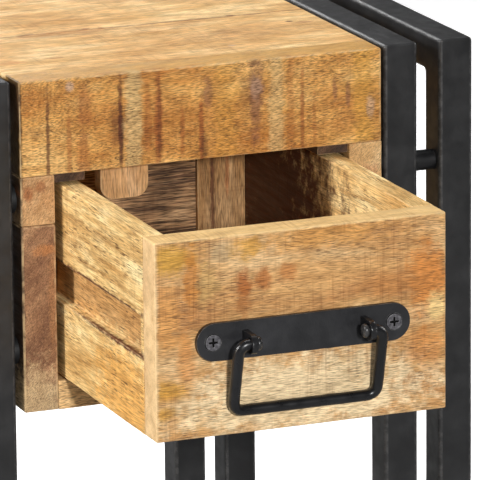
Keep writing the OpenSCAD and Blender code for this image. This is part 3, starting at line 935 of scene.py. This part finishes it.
def build_box():
    """The sides, bottom and back of the box."""
    low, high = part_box("left_side_lower_board")
    split, bottom, x = high.z / MM, low.z / MM, (low.x + high.x) / 2 / MM
    # Painted shadow: the box's left side near the front made near black, as in the gap beside the
    # left frame
    shade = ((low.x / MM, low.y / MM + 8, 0), (1.5, 14, 0), GAP_SHADOW, 0.9)
    left_upper = [shade, ((x - 6, 0, split + 18), (3.5, 0, 4), RUST, 0.7),
                  ((x + 2, 0, split + 21), (3, 0, 3), RUST, 0.55),
                  ((x, 0, split + 4), (12, 0, 6), rgb(206, 166, 118), 0.6)]
    left_lower = [shade, ((x - 2, 0, bottom + 6), (14, 0, 20), rgb(204, 174, 130), 0.85),
                  ((x + 4, 0, split - 14), (7, 0, 3), rgb(196, 128, 70), 0.5),
                  ((x + 8, 0, split - 40), (3, 0, 26), rgb(176, 124, 80), 0.5)]
    right_upper = [((-x, 0, split + 10), (8, 0, 5), rgb(192, 134, 88), 0.6)]
    upper = wood("mango_left_upper", "Y", STILE_TAN, 12, figure=0.3, fibre=0.2,
                 pores=0.35, stains=left_upper)
    lower = wood("mango_left_lower", "Y", STILE_BROWN, 14, figure=0.5, fibre=0.28,
                 pores=0.5, stains=left_lower)
    board("left_side_upper_board", upper, "mango_light", width=0.9 * MM, seed=12)
    board("left_side_lower_board", lower, "mango_brown", width=1.2 * MM, seed=13)
    upper = wood("mango_right_upper", "Y", STILE_PALE, 13, figure=0.3, fibre=0.2, pores=0.35,
                 stains=right_upper)
    lower = wood("mango_right_lower", "Y", STILE_PALE, 15, figure=0.4, pores=0.5)
    board("right_side_upper_board", upper, "mango_light", width=0.9 * MM, seed=12)
    board("right_side_lower_board", lower, "mango_brown", width=1.2 * MM, seed=13)
    bottom_look = wood("mango_box_bottom", "X", STILE_PALE, 17, figure=0.45, pores=0.45,
                       rise=0.2)
    for part in ("front", "rear"):
        board(f"bottom_plank_{part}", bottom_look, "mango_mid", seed=14)
    back_look = wood("mango_box_back", "X", STILE_BROWN, 18, pores=0.7)
    board("box_back", back_look, "mango_brown", seed=15, step=0.012)


def side_streaks_and_groove_shade(low):
    """Dark streaks on the drawer's left side, and painted shade in its runner groove: brown on
    the groove's back, and near black along its edges and at its front end."""
    runner_low, runner_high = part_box("left_runner")
    middle = (runner_low.z + runner_high.z) / 2 / MM
    half = (runner_high.z - runner_low.z) / 2 / MM
    back = runner_high.x / MM + RUNNER_TIP_GAP
    outside, front = low.x / MM, low.y / MM
    # Painted shade in the groove: its back brown, dark lines along its edges, a dark pocket at
    # its front end
    marks = [((back, 0, middle), (1.2, 0, half + 2), rgb(196, 144, 86), 0.85),
             ((outside, front + 70, middle + half + 0.6), (3, 80, 1.6), SMOKE, 0.95),
             ((outside, front + 45, middle - half - 0.6), (3, 60, 1.7), SMOKE, 1.0),
             ((outside, front + 14, middle - half + 1), (6, 14, 3.4), SMOKE, 0.9)]
    for behind, over, long, thick, share in SIDE_STREAKS:
        centre = (outside, front + behind, middle + over)
        marks.append((centre, (3, long, thick), rgb(168, 118, 60), share))
    return marks


def build_drawer():
    """The drawer's boards."""
    low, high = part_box("drawer_left_side")
    inside, top = high.x / MM, high.z / MM
    front_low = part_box("drawer_front")[0]
    end = ((front_low.x / MM - 1, 0, 0), (2.6, 0, 0), rgb(238, 202, 150), 0.95)
    top_edge = ((0, 0, top), (0, 0, 1.2), rgb(244, 206, 142), 0.85)
    calm = [((front_low.x / MM - 1, 0, 0), (2.4, 0, 0)), ((0, 0, top + 1), (0, 0, 1.6))]
    front_look = wood("mango_drawer_front", "X", DRAWER, 20, figure=0.3, fibre=0.25, pores=0.65,
                      saw=0.4, wave=2.5, stroke=0.8, fine=1.6, calm=calm,
                      stains=DRAWER_STAINS_AND_LIGHT + [end, top_edge])
    board("drawer_front", front_look, "mango_light", width=0.9 * MM, seed=18)
    # Painted shadow: the rear of the right side's inner face made dark brown, as under the top
    painted_inner_shadow = ((-inside, -15, top - 40), (5, 100, 80), rgb(84, 42, 24), 1.0)
    orange_low = ((low.x / MM, low.y / MM + 30, top - 92), (4, 46, 26), rgb(232, 172, 90), 0.8)
    side_look = wood("mango_drawer_sides", "Y", SIDE, 21, figure=0.75, fibre=0.2, pores=0.75,
                     stroke=1.5, line=0.2, crisp=0.07, wave=7.0,
                     stains=[painted_inner_shadow, orange_low] + side_streaks_and_groove_shade(low))
    for side in ("left", "right"):
        board(f"drawer_{side}_side", side_look, "mango_light", width=0.6 * MM, seed=19)
    ridges = wood("mango_drawer_back", "X", BROWN, 22, figure=0.85, fibre=0.45, pores=0.7,
                  line=0.55, crisp=0.05, stroke=1.5)
    board("drawer_back", ridges, "mango_brown", width=0.6 * MM, seed=20)
    strip_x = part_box("drawer_corner_strips")[1].x / MM
    cracks = [((strip_x - 20, 0, top - 40), (1.3, 0, 26), SMOKE, 0.75),
              ((strip_x - 11, 0, top - 30), (1.2, 0, 14), RUST, 0.6)]
    strip_look = wood("mango_corner_strips", "Z", STRIP, 23, figure=0.4, stains=cracks)
    board("drawer_corner_strips", strip_look, "mango_light", width=0.5 * MM, seed=21)
    panel_look = wood("plywood_bottom", "Y", SIDE, 24, figure=0.5, pores=0.3, saw=0.0)
    board("drawer_bottom", panel_look, "plywood", width=0.3 * MM, step=0.02, seed=22)


def build_metal():
    """The frames, their glides and washers, the screws and the handle."""
    seed = 30
    for side in ("left", "right"):
        for ring in ("inner", "outer"):
            seed += 1
            steel_loop(side, ring, STEEL, seed)
        shaped("steel", f"{side}_frame_spacers", SPACER, "frame_steel", width=0.3 * MM,
               least=0.0005, step=0.006, seed=seed)
    shaped("plastic", "floor_glides", PLASTIC, "glide_plastic", width=0.5 * MM, least=0.0005,
           step=0.01, seed=36, depth=0.00005, edge_depth=0.00005)
    shaped("plastic", "box_washers", PLASTIC, "glide_plastic", width=0.25 * MM, least=0.0005,
           step=0.02, seed=42, depth=0.00003, edge_depth=0.00003)
    for node in ("box_bolts", "stop_button_screw"):
        shaped("zinc", node, ZINC, "zinc_hardware", width=0.25 * MM, least=0.0005, step=0.02,
               seed=37, depth=0.00003, edge_depth=0.00003)
    shaped("iron", "handle_plate", ENAMEL, "handle_iron", width=0.6 * MM, least=0.0006,
           step=0.003, seed=38, depth=0.00022, size=0.012, edge_depth=0.00022)
    shaped("iron", "handle_lugs", BAIL, "handle_iron", width=0.5 * MM, least=0.0004,
           step=0.0012, seed=39, depth=0.0004, size=0.004, edge_depth=0.0003)
    screw_look = zinc("zinc_screw_heads", 4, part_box("handle_screws")[0].y / MM)
    shaped("zinc", "handle_screws", screw_look, "zinc_hardware", width=0.2 * MM, least=0.0005,
           step=0.004, seed=40, depth=0.00004, size=0.005, edge_depth=0.00004)
    bail(BAIL)


# ---------- floor, light and camera ----------

# Brightness of the floor and the backdrop, as tones, as their own light and as the world's
WHITE = 0.8
BOUNCE = 0.35
GLOW = 0.6
BACKDROP_GLOW = 0.9
WORLD = 0.12
# Metres: half the floor's width, the backdrop, and the bounce floor's depth
FLOOR_HALF = 12.0
BACKDROP_RADIUS = 11.0
BACKDROP_HIGH = 16.0
BOUNCE_DOWN = 1 * MM
# The point that the lamps are turned to
AIM = Vector((0, -0.09, 0.46))
# Lamps: name, degrees right of the front, degrees up, metres away, size in metres, watts
LAMPS = [
    ("front", -7, 16, 2.7, (0.26, 0.16), 50),
    ("left", -93.4, 24, 2.4, (0.14, 0.5), 44),
    ("left_low", -96, 6, 2.6, (0.4, 0.8), 9),
    ("above", 170, 78, 2.3, (1.0, 1.0), 17),
    ("right", 96, 18, 2.6, (0.9, 0.9), 20),
    ("rear", 176, 14, 2.6, (0.9, 0.9), 24),
]
# Colours of the lamps that are not plain white
TINTS = {"left_low": (1.0, 0.86, 0.68)}


def stage_material(name, tone, glow):
    """A matt pale grey, faintly clouded, that may give its own light."""
    graph = Graph(name)
    cloud = graph.even(graph.place(), 0.002, detail=2.0)
    darker = (tone * 0.97, tone * 0.97, tone * 0.97, 1.0)
    graph.feed("Base Color", graph.ramp(cloud, [(0.3, darker), (0.7, (tone, tone, tone, 1.0))]))
    graph.feed("Roughness", 0.8)
    graph.feed("Specular IOR Level", 0.0)
    graph.feed("Emission Color", (1, 1, 1, 1))
    graph.feed("Emission Strength", glow)
    return graph.material


def stage_piece(name, bm, material, height):
    """Adds a part of the studio, which is no part of the object."""
    mesh = bpy.data.meshes.new(name)
    bm.to_mesh(mesh)
    bm.free()
    mesh.materials.append(material)
    piece = bpy.data.objects.new(name, mesh)
    piece.location.z = height
    bpy.context.scene.collection.objects.link(piece)
    return piece


def only_seen(piece):
    """The camera sees it, and it throws no light or shadow on the object."""
    for ray in ("diffuse", "glossy", "transmission", "shadow"):
        setattr(piece, f"visible_{ray}", False)


def floor_sheet():
    bm = bmesh.new()
    bmesh.ops.create_grid(bm, x_segments=8, y_segments=8, size=FLOOR_HALF)
    return bm


def floor():
    """A white floor and backdrop that the camera sees, and a greyer floor whose light the
    object gets."""
    look = stage_material("floor_white", WHITE, GLOW)
    only_seen(stage_piece("floor_white", floor_sheet(), look, 0.0))
    look = stage_material("floor_bounce", BOUNCE, 0.0)
    stage_piece("floor_bounce", floor_sheet(), look, -BOUNCE_DOWN).visible_camera = False
    bm = bmesh.new()
    bmesh.ops.create_cone(bm, segments=64, radius1=BACKDROP_RADIUS, radius2=BACKDROP_RADIUS,
                          depth=BACKDROP_HIGH)
    look = stage_material("backdrop_white", WHITE, BACKDROP_GLOW)
    only_seen(stage_piece("backdrop_white", bm, look, 0.0))


def softbox(name, turn, rise, away, size, power):
    """A lamp seen from the table at turn degrees right of the front and rise degrees up."""
    a, e = math.radians(turn), math.radians(rise)
    ray = Vector((math.sin(a) * math.cos(e), -math.cos(a) * math.cos(e), math.sin(e)))
    data = bpy.data.lights.new(name, "AREA")
    data.shape = "RECTANGLE"
    data.size, data.size_y = size
    data.energy = power
    data.color = TINTS.get(name, (1, 1, 1))
    lamp = bpy.data.objects.new(name, data)
    lamp.location = AIM + ray * away
    lamp.rotation_euler = (-ray).to_track_quat("-Z", "Y").to_euler()
    lamp.visible_camera = False
    bpy.context.scene.collection.objects.link(lamp)


def lights():
    for lamp in LAMPS:
        softbox(*lamp)
    world = bpy.data.worlds.new("studio")
    world.use_nodes = True
    background = world.node_tree.nodes["Background"]
    background.inputs[0].default_value = (1, 1, 1, 1)
    background.inputs[1].default_value = WORLD
    bpy.context.scene.world = world
    bpy.context.scene.view_settings.view_transform = "Standard"


# The camera looks at a point from so many metres away, turned left of the front, raised
# and rolled, through a long lens
CAMERA_TARGET = Vector((0.0224, -0.0905, 0.4497))
CAMERA_AWAY = 3.082
CAMERA_TURN = math.radians(22.003)
CAMERA_RISE = math.radians(14.508)
CAMERA_ROLL = math.radians(-0.5355)
LENS = 425.45
SENSOR = 36


def camera():
    turn, rise, roll = CAMERA_TURN, CAMERA_RISE, CAMERA_ROLL
    look = Vector((math.sin(turn) * math.cos(rise), math.cos(turn) * math.cos(rise),
                   -math.sin(rise)))
    right = Vector((math.cos(turn), -math.sin(turn), 0))
    up = right.cross(look)
    side = right * math.cos(roll) + up * math.sin(roll)
    up = up * math.cos(roll) - right * math.sin(roll)
    data = bpy.data.cameras.new("camera")
    data.lens = LENS
    data.sensor_width = SENSOR
    cam = bpy.data.objects.new("camera", data)
    place = CAMERA_TARGET - look * CAMERA_AWAY
    axes = Matrix((side, up, -look)).transposed().to_4x4()
    cam.matrix_world = Matrix.Translation(place) @ axes
    bpy.context.scene.collection.objects.link(cam)
    bpy.context.scene.camera = cam


build_top()
build_box()
build_drawer()
build_metal()
floor()
lights()
camera()
